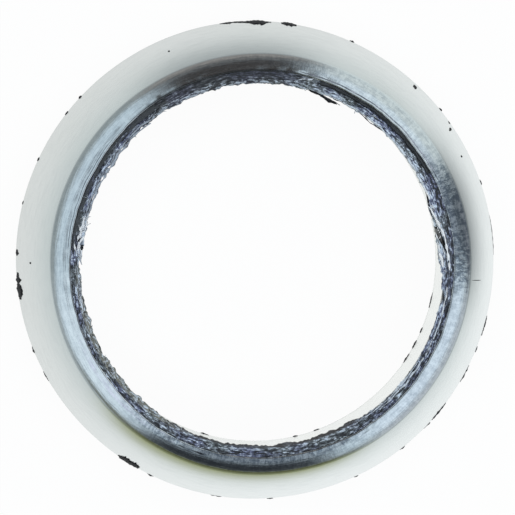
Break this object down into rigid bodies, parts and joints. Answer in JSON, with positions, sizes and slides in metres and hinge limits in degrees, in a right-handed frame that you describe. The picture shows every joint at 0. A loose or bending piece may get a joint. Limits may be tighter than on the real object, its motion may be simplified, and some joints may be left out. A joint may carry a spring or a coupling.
{
  "type": "exhaust ring gasket",
  "caption": "Ring-shaped exhaust pipe gasket: a ball-seated sheet-metal jacket with a rounded nose over a pressed wire and graphite core.",
  "frame": {"origin": "middle of the flat rear face, on the ring's axis", "axes": "+Z along the ring's axis, from the flat rear face towards the rounded nose"},
  "size_m": [0.06, 0.06, 0.0159],
  "materials": {
    "jacket": "bright, smooth on the seat and finely brushed on the lip",
    "core": "dark pressed graphite with silvery wire"
  },
  "bodies": {
    "root": {"jacket": "jacket", "core": "core"}
  },
  "joints": []
}
